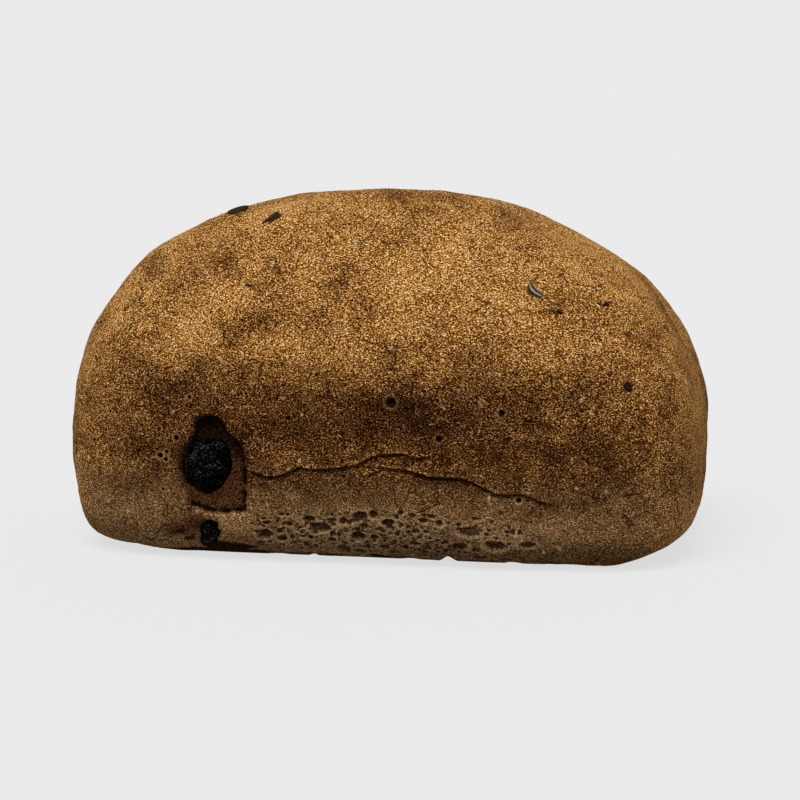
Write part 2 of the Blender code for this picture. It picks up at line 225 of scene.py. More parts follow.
def tear_relief(points):
    """How far the tears raise the crust and let it droop, how much painted shade lies in each crack, and
    their pale lips.
    """
    height = np.zeros(len(points))
    droop = np.zeros(len(points))
    recess_shade = np.zeros(len(points))
    pale_lip = np.zeros(len(points))
    wobble = FINE_WOBBLE * noise_field(points, FINE_WOBBLE_SIZE, 7.7)
    patchy = np.clip(USUAL_SPLIT + SPLIT_CHANGE * noise_field(points, TEAR_PATCHES, 15.1), *SPLIT_LIMITS)
    for line, side, share in TEARS:
        over, present = over_tear(points, line, side)
        present = present * share
        lip = np.where(over > 0, LIP, -LIP) * np.exp(-np.abs(over) / LIP_REACH)
        over = over + wobble
        split = np.where(over < 0, np.exp(np.minimum(over, 0) / TEAR_SLOPE), bell(over / TEAR_EDGE))
        height += present * (lip - TEAR_DEPTH * patchy * split)
        droop += present * LIP_DROOP * np.exp(-np.abs(over) / DROOP_REACH)
        recess_shade = np.maximum(recess_shade, present * patchy * bell((over + CREASE_DROP) / CREASE_LINE))
        pale_lip = np.maximum(pale_lip, present * bell((over - PALE_LIP_HEIGHT) / PALE_LIP_WIDTH))
    return height, droop, recess_shade, pale_lip


# The sunk patch round the front raisin, where burnt sugar glued the dough down: an outline of x and z, a
# narrow crease inside its right and lower edges, and a deep hollow over the raisin.
PATCH = [
    (-32.3, 25.9), (-32.1, 27.8), (-30.9, 29.0), (-28.8, 29.3), (-26.8, 28.9), (-25.5, 27.6),
    (-24.5, 25.9), (-23.2, 24.6), (-22.1, 23.0), (-21.4, 21.0), (-21.1, 18.5), (-21.2, 14.6),
    (-21.2, 10.3), (-23.0, 9.8), (-26.5, 9.3), (-29.7, 9.8), (-32.8, 10.8), (-33.7, 12.9), (-34.7, 15.6),
    (-35.1, 18.9), (-34.6, 21.4), (-33.5, 23.6), (-32.5, 24.8),
]
PATCH_FLOOR = 0.8 * MM
PATCH_SLOPE = 0.5 * MM
PATCH_WOBBLE = 0.22 * MM
PATCH_WOBBLE_SIZE = 2.2 * MM
FINE_PATCH_WOBBLE = 0.9 * PATCH_WOBBLE
CREASE_DEPTH = 1.0 * MM
CREASE_INSET = 0.55 * MM
CREASE_WIDTH = 0.5 * MM
CREASE_FROM = (-24.5 * MM, 12.6 * MM)
CREASE_FADE = 1.5 * MM
CREASE_PATCHES = 1.5 * MM
USUAL_CREASE = 0.85
CREASE_CHANGE = 0.9
CREASE_LIMITS = (0.15, 1)
HOLLOW_FROM = 19.0 * MM
HOLLOW_RISE = 4.5 * MM
HOLLOW_LEFT = -33.2 * MM
HOLLOW_DEPTH = 2.0 * MM
HOLLOW_EDGE = 0.8 * MM
HOLLOW_SHADE_MARGIN = 0.15


def inside_patch(points):
    """How far inside the sunk patch's outline each point lies, negative outside it."""
    outline = np.array(PATCH) * MM
    place = points[:, [0, 2]]
    nearest = np.full(len(points), np.inf)
    crossings = np.zeros(len(points), int)
    for start, end in zip(outline, np.roll(outline, -1, axis=0)):
        along = end - start
        share = np.clip((place - start) @ along / (along @ along), 0, 1)
        nearest = np.minimum(nearest, np.linalg.norm(place - start - share[:, None] * along, axis=1))
        spans = (start[1] > place[:, 1]) != (end[1] > place[:, 1])
        run = np.divide(place[:, 1] - start[1], along[1]) if along[1] else np.zeros(len(points))
        crossings += spans & (place[:, 0] < start[0] + run * along[0])
    inside = np.where(crossings % 2 == 1, nearest, -nearest)
    return np.where(points[:, 1] < 0, inside, -1)


def patch_relief(points):
    """How far the patch sinks the crust, and how much painted shade lies in its hollow and crease."""
    inside = inside_patch(points) + PATCH_WOBBLE * noise_field(points, PATCH_WOBBLE_SIZE, 9.1)
    inside += FINE_PATCH_WOBBLE * noise_field(points, FINE_WOBBLE_SIZE, 2.1)
    sunk = smooth_step(inside / PATCH_SLOPE)
    rise = (points[:, 2] - HOLLOW_FROM) / HOLLOW_RISE
    towards_right = smooth_step((points[:, 0] - CREASE_FROM[0]) / CREASE_FADE)
    towards_foot = smooth_step((CREASE_FROM[1] - points[:, 2]) / CREASE_FADE)
    creased = bell((inside - CREASE_INSET) / CREASE_WIDTH) * np.maximum(towards_right, towards_foot)
    patchy = USUAL_CREASE + CREASE_CHANGE * noise_field(points, CREASE_PATCHES, 6.6)
    creased *= np.clip(patchy, *CREASE_LIMITS)
    height = -sunk * (PATCH_FLOOR + HOLLOW_DEPTH * smooth_step(rise)) - CREASE_DEPTH * creased
    right_of_rim = smooth_step((points[:, 0] - HOLLOW_LEFT) / HOLLOW_EDGE)
    shaded_hollow = sunk * smooth_step(rise + HOLLOW_SHADE_MARGIN) * right_of_rim
    return height, np.maximum(shaded_hollow, creased)


# The raisins' beds. Each raisin sits in a cavity of the dough, a little wider than itself. A raisin's outline
# is x and z from the middle of its solid, seen from the front.
RAISIN_OUTLINES = {
    "raisin_front": [
        (-3.1, 4.5), (-1.4, 5.0), (-0.3, 4.8), (2.3, 4.8), (3.6, 3.5), (4.0, 1.6), (4.4, 0.4), (4.0, -1.2),
        (3.1, -2.6), (2.4, -3.8), (0.9, -4.9), (-0.8, -5.6), (-2.0, -5.2), (-2.9, -4.3), (-4.5, -3.4),
        (-4.9, -2.0), (-5.4, -0.7), (-4.9, 0.9), (-4.4, 1.8), (-3.9, 3.0),
    ],
    "raisin_base": [
        (-2.8, 0.4), (-2.0, 1.5), (-0.8, 1.9), (0.5, 1.4), (1.0, 0.1), (0.5, -1.3), (-0.6, -2.5),
        (-2.0, -2.6), (-2.8, -1.2),
    ],
}
RAISIN_GAP = 0.15 * MM
BED_WALL = 0.1
RAISIN_INSET = {"raisin_front": 1.7 * MM, "raisin_base": 0.9 * MM}


def raisin_seat(node):
    """Middle and half sizes of a packed raisin, with its thickness along Y."""
    low, high = (np.array(corner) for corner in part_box(node))
    return (low + high) / 2, (high - low) / 2


def raisin_reach(node, across, up):
    """How far the raisin reaches from its middle in these directions, seen from the front."""
    outline = np.array(RAISIN_OUTLINES[node]) * MM
    turns = np.arctan2(outline[:, 1], outline[:, 0])
    return np.interp(np.arctan2(up, across), turns, np.linalg.norm(outline, axis=1), period=2 * math.pi)


def bed_relief(points):
    """How far the raisins' beds sink the crust."""
    depth = np.zeros(len(points))
    for node in RAISIN_OUTLINES:
        middle, halves = raisin_seat(node)
        across, up = points[:, 0] - middle[0], points[:, 2] - middle[2]
        flat = np.hypot(across, up) / (raisin_reach(node, across, up) + RAISIN_GAP)
        bowl = RAISIN_INSET[node] + RAISIN_GAP + halves[1] * np.sqrt(np.clip(1 - flat**2, 0, 1))
        wall = smooth_step((1 + BED_WALL - flat) / BED_WALL)
        depth = np.maximum(depth, bowl * wall * (points[:, 1] < 0))
    return -depth


# Bubbles. Low on the sides, where the roll touched its neighbours, the crumb lies open: ovals of x, z, half
# width, half height and depth, with a rule for the back and for the finest ones.
PORES = [
    (-8.9, 9.2, 1.05, 0.5, 0.8), (-4.3, 9.2, 0.95, 0.32, 0.6), (-2.1, 9.1, 0.75, 0.5, 0.8),
    (-0.1, 9.2, 0.55, 0.3, 0.6), (1.3, 10.1, 1.3, 0.75, 0.9), (3.8, 10.6, 0.75, 0.6, 0.9),
    (6.8, 9.1, 1.1, 0.55, 0.8), (8.5, 10.3, 0.4, 0.3, 0.5), (11.4, 10.7, 0.75, 0.3, 0.4),
    (13.6, 9.7, 0.75, 0.4, 0.6), (15.2, 10.6, 0.75, 0.3, 0.6), (16.7, 9.3, 0.6, 0.5, 0.7),
    (-6.7, 7.6, 1.85, 0.75, 0.9), (-12.9, 8.1, 0.65, 0.4, 0.6), (-15.2, 8.7, 0.4, 0.22, 0.4),
    (-14.3, 7.1, 0.4, 0.22, 0.4), (-10.8, 7.4, 0.4, 0.22, 0.4), (-17.9, 5.9, 1.4, 0.85, 0.9),
    (-14.6, 5.0, 0.95, 0.5, 0.5), (-12.1, 4.2, 0.4, 0.25, 0.4), (-9.9, 3.9, 0.5, 0.35, 0.5),
    (-8.8, 5.4, 0.55, 0.4, 0.6), (-4.5, 5.1, 0.75, 0.4, 0.6), (0.7, 6.0, 1.3, 0.75, 1.1),
    (3.9, 5.9, 0.75, 0.5, 0.8), (2.0, 8.2, 1.0, 0.5, 0.5), (7.1, 8.1, 0.75, 0.3, 0.6),
    (5.7, 7.3, 0.4, 0.25, 0.4), (12.1, 7.5, 0.75, 0.4, 0.6), (14.0, 7.5, 0.5, 0.3, 0.5),
    (11.7, 4.9, 1.0, 0.4, 0.7), (5.6, 3.7, 1.0, 0.35, 0.7), (9.2, 4.0, 0.55, 0.25, 0.5),
    (-2.5, 2.9, 1.3, 0.7, 0.9), (0.7, 2.4, 0.95, 0.55, 0.8), (7.5, 2.6, 1.4, 0.35, 0.7),
    (13.2, 3.1, 1.0, 0.2, 0.5), (20.3, 9.2, 0.4, 0.25, 0.4), (22.6, 7.9, 2.0, 0.75, 0.5),
    (26.4, 8.2, 0.4, 0.25, 0.5), (20.5, 4.7, 1.3, 0.7, 0.8), (27.5, 5.3, 1.8, 0.75, 0.8),
    (26.0, 5.7, 0.5, 0.35, 0.9), (33.6, 5.6, 1.5, 0.5, 0.6), (29.9, 8.1, 0.6, 0.3, 0.5),
    (32.2, 7.8, 0.5, 0.25, 0.5), (-36.6, 5.3, 1.3, 0.3, 0.5), (-34.2, 4.5, 1.4, 0.28, 0.5),
    (-7.0, 1.9, 1.3, 0.35, 0.8), (11.5, 1.6, 1.6, 0.3, 0.7), (-12.5, 1.8, 1.5, 0.3, 0.7),
    (3.6, 1.5, 1.1, 0.25, 0.6), (24.0, 2.4, 1.2, 0.35, 0.7), (29.0, 2.6, 1.5, 0.3, 0.7),
    (-32.6, 10.4, 0.9, 0.3, 0.5),
]
BACK_PORE_COUNT = 16
BACK_PORE_FROM = -30
BACK_PORE_STEP = 3.9
FINE_PORE_COUNT = 260
FINE_PORE_SPAN = {-1: (-21, 31), 1: (-36, 36)}
FINE_PORE_HEIGHTS = (1.8, 12.0)
LOW_PORES = 4
LOW_PORE_STRETCH = 1.5
PORE_EDGE = 1.1
PORE_SHARPNESS = 0.28
PORE_RAGGED = 0.16
PORE_SPREAD = (1.1, 1.35)
PORE_RIM = 1.3
PORE_RIM_WIDTH = 0.22


form_tree = BVHTree.FromObject(bread, bpy.context.evaluated_depsgraph_get())


def on_form(x, z, side):
    """Point and outward normal of the plain form at x and z, on the front (-1) or the back (1)."""
    point, normal, _, _ = form_tree.ray_cast(Vector((x * MM, side * DEPTH, z * MM)), Vector((0, -side, 0)))
    return np.array(point), np.array(normal)


def back_pores():
    """A row of bubbles along the back that rise, sink and change in width."""
    pores = []
    for index in range(BACK_PORE_COUNT):
        x = BACK_PORE_FROM + index * BACK_PORE_STEP
        z = 7 + 2.6 * math.sin(index * 2.4)
        half_width = 1.2 + 0.5 * math.sin(index * 1.7)
        pores.append((x, z, half_width, 0.65, 0.8))
    return pores


def fine_pores(side, dice):
    """Many small bubbles, scattered evenly along the side and closer together in the middle of the band."""
    pores = []
    low, high = FINE_PORE_HEIGHTS
    for _ in range(FINE_PORE_COUNT):
        x = dice.uniform(*FINE_PORE_SPAN[side])
        z = low + (high - low) * dice.beta(1.7, 1.7)
        half_width = 0.2 + 0.4 * dice.random() ** 2
        pores.append((x, z, half_width, half_width * dice.uniform(0.45, 0.8), half_width * 0.9))
    return pores


pore_dice = np.random.default_rng(11)
placed_pores = []
for side, listed in ((-1, PORES), (1, back_pores())):
    for x, z, half_width, half_height, depth in listed + fine_pores(side, pore_dice):
        taller = PORE_SPREAD[1] * (LOW_PORE_STRETCH if z < LOW_PORES else 1)
        halves = (half_width * PORE_SPREAD[0] * MM, half_height * taller * MM)
        placed_pores.append((on_form(x, z, side)[0], *halves, depth * MM))


def pore_relief(points):
    """How far the bubbles sink the crust, how much painted shade lies in each, and how near a rim, from 0 to
    1.
    """
    height = np.zeros(len(points))
    recess_shade = np.zeros(len(points))
    rim = np.zeros(len(points))
    ragged = PORE_RAGGED * noise_field(points, FINE_WOBBLE_SIZE, 3.9)
    for place, half_width, half_height, depth in placed_pores:
        near = np.flatnonzero(np.abs(points - place).max(axis=1) < 2 * half_width)
        offset = points[near] - place
        tall = np.hypot(offset[:, 1], offset[:, 2]) / half_height
        flat = np.hypot(offset[:, 0] / half_width, tall) - ragged[near]
        hole = smooth_step((PORE_EDGE - flat) / PORE_SHARPNESS)
        height[near] = np.minimum(height[near], -depth * hole)
        recess_shade[near] = np.maximum(recess_shade[near], hole)
        rim[near] = np.maximum(rim[near], bell((flat - PORE_RIM) / PORE_RIM_WIDTH))
    return height, recess_shade, rim * (1 - recess_shade)


# Pits and burst blisters of the dome: x, z, side, radius and depth.
PITS = [
    (24.5, 65.3, -1, 0.7, 0.8), (45.7, 50.9, -1, 0.6, 0.9), (38.6, 49.4, -1, 0.6, 0.9),
    (7.2, 32.3, -1, 0.9, 1.0), (16.7, 25.6, -1, 0.6, 0.8), (28.6, 30.8, -1, 0.6, 0.7),
    (-38.8, 20.8, -1, 0.55, 0.8), (-37.4, 21.6, -1, 0.36, 0.7), (-37.6, 20.1, -1, 0.4, 0.7),
    (-35.4, 24.4, -1, 0.5, 0.8), (-32.9, 32.4, -1, 0.4, 0.6), (-38.2, 14.2, -1, 0.3, 0.5),
    (32.0, 14.3, -1, 0.5, 0.9), (-22, 55, 1, 0.8, 0.8), (31, 33, 1, 0.9, 0.9), (12, 60, 1, 0.7, 0.8),
    (-41, 30, 1, 0.8, 0.9),
]
PIT_EDGE = 1.15
PIT_SHARPNESS = 0.35
PIT_RIM = 1.45
PIT_RIM_WIDTH = 0.35
PIT_RIM_HEIGHT = 0.18
LARGE_PIT = 0.57 * MM
LARGE_PIT_RIM = 0.35
placed_pits = [(on_form(x, z, side)[0], radius * MM, depth * MM) for x, z, side, radius, depth in PITS]


def pit_relief(points):
    """How far the pits sink the crust, how much painted shade lies in each, and how near a rim, from 0 to 1.
    """
    height = np.zeros(len(points))
    recess_shade = np.zeros(len(points))
    rims = np.zeros(len(points))
    for place, radius, depth in placed_pits:
        away = np.linalg.norm(points - place, axis=1) / radius
        hole = smooth_step((PIT_EDGE - away) / PIT_SHARPNESS)
        rim = bell((away - PIT_RIM) / PIT_RIM_WIDTH)
        height += PIT_RIM_HEIGHT * depth * rim - depth * hole
        recess_shade = np.maximum(recess_shade, hole)
        rims = np.maximum(rims, rim * (1 if radius < LARGE_PIT else LARGE_PIT_RIM))
    return height, recess_shade, rims * (1 - recess_shade)


# The crust's mesh: the plain form's triangles are halved where there is detail, evened out, and then sunk and
# raised by all the relief above.
PLAIN_SPACING = 1.05 * MM
FOOT_SPACING = 3 * MM
DETAIL_SPACING = 0.25 * MM
TEAR_SPACING = 0.14 * MM
TEAR_MARGIN = 0.3 * MM
PIT_SPACING = 0.2 * MM
SPACING_MARGIN = 0.5 * MM
SPACING_GROWTH = 0.5
TOO_LONG = 1.4
HALVINGS = 5
PORE_BAND_TOP = 11.5 * MM
PORE_SPACING = 0.21 * MM
PORE_BAND_ENDS = {-1: (-22 * MM, 43 * MM), 1: (-37 * MM, 37 * MM)}
BACK_SPACING = 0.4 * MM


def wanted_spacing(points):
    """Length that the mesh's edges should have here: short at each detail and longer away from it."""
    gaps = [(np.maximum(-inside_patch(points) - SPACING_MARGIN, 0), DETAIL_SPACING)]
    for line, side, _ in TEARS:
        over, _ = over_tear(points, line, side)
        past = np.maximum(line[0][0] * MM - points[:, 0], points[:, 0] - line[-1][0] * MM)
        away = np.hypot(np.maximum(np.abs(over) - TEAR_MARGIN, 0), np.maximum(past, 0))
        gaps.append((away + LENGTH * (points[:, 1] * side < 0), TEAR_SPACING if side < 0 else DETAIL_SPACING))
    for side, shortest in ((-1, PORE_SPACING), (1, BACK_SPACING)):
        start, end = PORE_BAND_ENDS[side]
        past = np.maximum(np.maximum(start - points[:, 0], points[:, 0] - end), 0)
        away = np.hypot(past, np.maximum(points[:, 2] - PORE_BAND_TOP, 0))
        gaps.append((away + LENGTH * (points[:, 1] * side < 0), shortest))
    for place, radius, _ in placed_pits:
        away = np.linalg.norm(points - place, axis=1)
        gaps.append((np.maximum(away - PIT_RIM * radius, 0), PIT_SPACING))
    spacing = np.where(points[:, 2] <= 0, FOOT_SPACING, PLAIN_SPACING)
    for gap, shortest in gaps:
        spacing = np.where(points[:, 2] <= 0, spacing, np.minimum(spacing, shortest + SPACING_GROWTH * gap))
    return spacing


def outward(piece):
    """The unit normals of the piece's corners."""
    normals = np.empty(len(piece.data.vertices) * 3)
    piece.data.vertices.foreach_get("normal", normals)
    return normals.reshape(-1, 3)


def halve_long_edges(piece):
    """Halves the edges that are too long, evens the mesh out, and says whether there were any."""
    ends = np.empty(len(piece.data.edges) * 2, int)
    piece.data.edges.foreach_get("vertices", ends)
    start, end = corners(piece)[ends.reshape(-1, 2)].swapaxes(0, 1)
    long_edges = np.linalg.norm(end - start, axis=1) > TOO_LONG * wanted_spacing((start + end) / 2)
    bpy.ops.object.mode_set(mode="EDIT")
    bpy.ops.mesh.select_mode(type="EDGE")
    bpy.ops.mesh.select_all(action="DESELECT")
    bpy.ops.object.mode_set(mode="OBJECT")
    piece.data.edges.foreach_set("select", long_edges)
    bpy.ops.object.mode_set(mode="EDIT")
    bpy.ops.mesh.subdivide(number_cuts=1)
    bpy.ops.mesh.select_all(action="SELECT")
    bpy.ops.mesh.quads_convert_to_tris()
    bpy.ops.mesh.beautify_fill(angle_limit=math.pi)
    bpy.ops.mesh.vertices_smooth(factor=0.5, repeat=2)
    bpy.ops.object.mode_set(mode="OBJECT")
    onto_plain_form(piece)
    return long_edges.any()


for _ in range(HALVINGS):
    if not halve_long_edges(bread):
        break

form_points = corners(bread)
form_normals = outward(bread)
tear_height, tear_droop, tear_shade, pale_lip = tear_relief(form_points)
pore_height, pore_shade, pore_rim = pore_relief(form_points)
pit_height, pit_shade, pit_rim = pit_relief(form_points)
patch_height, patch_shade = patch_relief(form_points)
relief = dough_relief(form_points) + tear_height + pore_height + pit_height
relief += np.minimum(patch_height, bed_relief(form_points))
above_foot = smooth_step(form_points[:, 2] / FOOT_FADE)
crust_points = form_points + form_normals * (relief * above_foot)[:, None]
crust_points[:, 2] = np.maximum(crust_points[:, 2] - tear_droop + foot_lift(form_points), 0)
move_corners(bread, crust_points)
bread.data.shade_smooth()


# The crust's colour. The dome baked golden, with browner clouds and spots, and a dark brown belt runs under
# its shoulder: partly darker crust and partly painted shade under the shoulder. Spots are x, z, half width,
# half height and strength.
# Browner spots on the front; some are painted shade under the tears' lips and in the patch's crease.
FRONT_SPOTS_AND_SHADE = [
    (4.5, 27.0, 4, 3, 0.55), (9.5, 36.5, 3, 1.4, 0.5), (-4.0, 36.4, 3, 1.2, 0.5),
    (14.2, 33.3, 2.5, 1.5, 0.45), (18.8, 29, 2.5, 3, 0.4), (8, 21.3, 6, 0.8, 0.3), (53, 20, 5, 3, 0.5),
    (50, 43, 8, 3, 0.35), (-39.5, 42.5, 3, 2, 0.5), (14, 39.5, 3, 1.5, 0.35), (3, 51, 7, 2.3, 0.5),
    (28, 14.0, 6, 0.9, 0.4), (-41, 22.5, 4, 1.2, 0.4), (36.5, 14.1, 3.5, 1.1, 0.6),
    (-24, 10.2, 2, 1.2, 0.7), (57, 48.5, 7, 3, 0.4), (41, 42, 5, 4, 0.35), (36, 28.3, 2.2, 0.9, 0.7),
    (49, 25, 2, 1, 0.5), (28.5, 22.5, 2, 1, 0.6), (-28.5, 57.5, 3, 2, 0.7), (-15.5, 51.5, 2.5, 1.5, 0.5),
    (-9.5, 46, 2.5, 1, 0.6), (9, 42, 4, 1.5, 0.6), (-58, 22, 6, 2, 0.4), (-46, 21, 5, 1.6, 0.4),
    (-57, 49, 3, 3, 0.4), (42, 41.5, 3, 3, 0.3), (41, 38.5, 5, 1.6, 0.4), (-43, 34.5, 4, 2, 0.45),
    (-33, 60, 7, 3, 0.35), (-20, 64, 7, 3, 0.3), (30, 54, 6, 1.5, 0.3), (24, 66, 8, 2.5, 0.35),
    (19, 17.0, 5, 0.7, 0.5), (-4.5, 36.8, 2.5, 1.5, 0.7), (14.2, 32.5, 2.5, 2, 0.6),
    (16.5, 17.0, 3.5, 0.9, 0.4), (-16, 16.5, 5, 0.9, 0.35), (-3.2, 53.3, 2.2, 3, 0.7),
    (1.0, 51.5, 2.5, 1.6, 0.8), (-24.2, 45.1, 3.5, 1.6, 0.6), (-31, 39.4, 4, 1.6, 0.7),
    (-45.2, 38.6, 4, 3, 0.6), (-34, 36.4, 4, 2, 0.5), (-44.9, 56.1, 3, 2.5, 0.6),
    (-30.7, 57.6, 2, 2, 0.5), (7.8, 31.4, 3.5, 2.6, 0.9), (12.5, 28.6, 5, 2.4, 0.8),
    (-0.7, 33.7, 6, 1.8, 0.3), (38, 25, 4, 2.0, 0.3), (14, 25.5, 4, 1.6, 0.4), (49, 24, 5, 2.0, 0.4),
    (-12.4, 26.6, 6, 3, 0.3), (59.2, 34.5, 2.5, 4, 0.4), (13.7, 69.1, 4, 1.5, 0.7),
    (1.7, 71, 4, 1.2, 0.6), (43.7, 51.5, 3, 2, 0.5), (38.5, 49.8, 3, 2.5, 0.5), (28.1, 38.7, 5, 2, 0.35),
    (-7, 50.5, 3.5, 5, 0.4), (-20.4, 47.3, 3, 2, 0.4), (-21.6, 22, 3, 5, 0.5), (50.7, 18.1, 4, 2, 0.2),
    (-20, 53.5, 2, 1.5, 0.5), (-46, 50, 3, 2, 0.4), (32, 45, 7, 1.5, 0.3), (20.5, 40.5, 3, 2.5, 0.4),
]
BELT_TOP = 43 * MM
BELT_TOP_FADE = 11 * MM
BELT_ENDS = ((-38 * MM, -58 * MM), (42 * MM, 62 * MM))
BELT_END_FADING = 0.55
GOLDEN = 0.76
BELT_DARKENING_AND_SHADE = 0.47
SPOT_AND_SHADE_DARKENING = 0.42
CLOUDS = 0.24
CLOUDS_ON_SIDE = 0.2
BELT_CLEARING = 0.4
CLOUD_SIZE = 12 * MM
SMALL_CLOUD_SIZE = 4.5 * MM
SMALL_CLOUDS = 0.7
DRIFT = 1.6 * MM
DRIFT_SIZE = 4 * MM
WIDE_DRIFT = 2.5 * MM
WIDE_DRIFT_SIZE = 11 * MM
BACK_FADE = 20 * MM
# Paler places on the front, partly paler crust and partly painted light, as on the roll's lower ends.
FRONT_PALE_AND_LIT = [
    (31, 29, 4, 3.2, 0.6), (21.5, 20.3, 3, 0.9, 0.4), (-36, 27, 3.5, 3, 0.6), (-46, 31, 6, 3, 0.5),
    (41.5, 29, 3, 3, 0.6), (-36, 15, 3.5, 3.0, 0.9), (63, 30, 4, 5, 0.6), (62, 12, 5, 6, 0.9),
    (-60, 13, 9, 6, 1.2), (38, 15.6, 3, 1.4, 0.6), (-20.5, 45, 3, 2, 0.4), (39, 31, 8, 2.6, 0.55),
    (38, 27.3, 4, 2.4, 0.7), (-42.8, 28.5, 2, 4, 0.7), (-38.5, 3.6, 2, 1.8, 0.6), (56, 4.5, 4, 3, 0.5),
    (-29, 36, 5, 2, 0.4), (-14, 43.5, 5, 2, 0.5), (36, 30, 6, 2.5, 0.5), (27.5, 23.5, 4, 2, 0.6),
    (-13, 36, 3, 2, 0.4), (-13, 21, 4, 2, 0.5), (65, 17, 4, 7, 0.6),
]
LIGHTENING = 0.30
PALE_TOP = 17.5 * MM
PALE_FADE = 6 * MM
PALE_HALF_LENGTH = 50 * MM
PALE_END_FADE = 12 * MM
PALE_END_LOSS = 0.6
PALE_TONE = 0.62
SIDE_SHADE = 0.45
SIDE_SHADE_FROM = 8 * MM
SIDE_SHADE_FADE = 9 * MM
FOOT_SHADE = 0.44
FOOT_SHADE_TOP = 9 * MM
FOOT_SHADE_FADE = 8 * MM
FOOT_SHADE_FROM = -5 * MM
FOOT_SHADE_RUN = 20 * MM
CRUMB_TOP = 12.5 * MM
CRUMB_TOP_FADE = 3 * MM
CRUMB_MIDDLE = 10.5 * MM
CRUMB_HALF_LENGTH = 34 * MM
CRUMB_END_FADE = 6 * MM
CRUMB_THINNING = 0.45
CRUMB_THINS_FROM = 16 * MM
CRUMB_THINS_OVER = 10 * MM
RIM_PALENESS = 0.4
CRUMB_RIM_PALENESS = 0.35
LIP_PALENESS = 0.22
PIT_RIM_PALENESS = 0.35
PORE_WALL_PALENESS = 0.6
PIT_WALL_PALENESS = 0.4
CRUMB_RIMS = [(-30, 9.0, 3.4, 0.45, 0.45), (-37.9, 20.9, 1.2, 1.0, 0.5), (-36, 23.6, 1.6, 0.7, 0.5)]


def spots_at(points, spots, side):
    """Soft-edged spots on the front or the back, as strong as the strongest that covers each point."""
    strength = np.zeros(len(points))
    for x, z, half_width, half_height, full in spots:
        away = np.hypot((points[:, 0] / MM - x) / half_width, (points[:, 2] / MM - z) / half_height)
        strength = np.maximum(strength, full * np.exp(-0.7 * away**2))
    return strength * (points[:, 1] * side > 0)


def store(piece, name, values):
    """Keeps one number a corner, for the finish to read."""
    attribute = piece.data.attributes.new(name, "FLOAT", "POINT")
    attribute.data.foreach_set("value", np.clip(values, 0, 1).astype(np.float32))


def drift_field(points, size, shifts):
    """Smooth sideways shifts of the points, of up to 1 each way."""
    return np.stack([noise_field(points, size, shift) for shift in shifts], axis=1)


drift = drift_field(form_points, DRIFT_SIZE, (11.3, 23.9, 47.1))
wide_drift = drift_field(form_points, WIDE_DRIFT_SIZE, (3.3, 13.9, 27.1))
drifted = form_points + DRIFT * drift
wandering = drifted + WIDE_DRIFT * wide_drift
clouds = noise_field(form_points, CLOUD_SIZE, 71.0)
clouds += SMALL_CLOUDS * noise_field(form_points, SMALL_CLOUD_SIZE, 83.0)
at_back = smooth_step(form_points[:, 1] / BACK_FADE)
belt = smooth_step((BELT_TOP - wandering[:, 2]) / BELT_TOP_FADE)
for inner, outer in BELT_ENDS:
    belt *= 1 - BELT_END_FADING * smooth_step((wandering[:, 0] - inner) / (outer - inner))
pale = smooth_step((PALE_TOP + PALE_FADE / 2 - drifted[:, 2]) / PALE_FADE)
pale *= 1 - PALE_END_LOSS * smooth_step((np.abs(form_points[:, 0]) - PALE_HALF_LENGTH) / PALE_END_FADE)
spotted_or_shaded = np.maximum(spots_at(drifted, FRONT_SPOTS_AND_SHADE, -1), at_back * smooth_step((clouds - 0.25) / 0.5))
# Paler places, partly painted light, lift the tone.
lighter = LIGHTENING * spots_at(drifted, FRONT_PALE_AND_LIT, -1)
# The belt and some of the spots darken the crust partly as painted shade.
baked = GOLDEN - BELT_DARKENING_AND_SHADE * belt - SPOT_AND_SHADE_DARKENING * spotted_or_shaded
baked += CLOUDS * clouds * (1 - BELT_CLEARING * belt) + lighter
pale_tone = lighter + PALE_TONE + CLOUDS_ON_SIDE * clouds
pale_tone -= SIDE_SHADE * smooth_step((drifted[:, 2] - SIDE_SHADE_FROM) / SIDE_SHADE_FADE)
near_foot = smooth_step((FOOT_SHADE_TOP - drifted[:, 2]) / FOOT_SHADE_FADE)
pale_tone -= FOOT_SHADE * near_foot * smooth_step((form_points[:, 0] - FOOT_SHADE_FROM) / FOOT_SHADE_RUN)
rims = np.maximum(RIM_PALENESS * pore_rim * pale, CRUMB_RIM_PALENESS * spots_at(form_points, CRUMB_RIMS, -1))
rims = np.maximum(rims, np.maximum(LIP_PALENESS * pale_lip, PIT_RIM_PALENESS * pit_rim))
store(bread, "tone", baked + (pale_tone - baked) * pale + rims)
store(bread, "pale_side", pale)
crumb_middle = np.where(form_points[:, 1] < 0, CRUMB_MIDDLE, 0)
bubbly = smooth_step((CRUMB_TOP - drifted[:, 2]) / CRUMB_TOP_FADE)
bubbly *= smooth_step((CRUMB_HALF_LENGTH - np.abs(drifted[:, 0] - crumb_middle)) / CRUMB_END_FADE)
bubbly *= 1 - CRUMB_THINNING * smooth_step((drifted[:, 0] - CRUMB_THINS_FROM) / CRUMB_THINS_OVER)
store(bread, "crumb", bubbly)
store(bread, "pale_rim", np.maximum(PORE_WALL_PALENESS * pore_rim * bubbly, PIT_WALL_PALENESS * pit_rim))


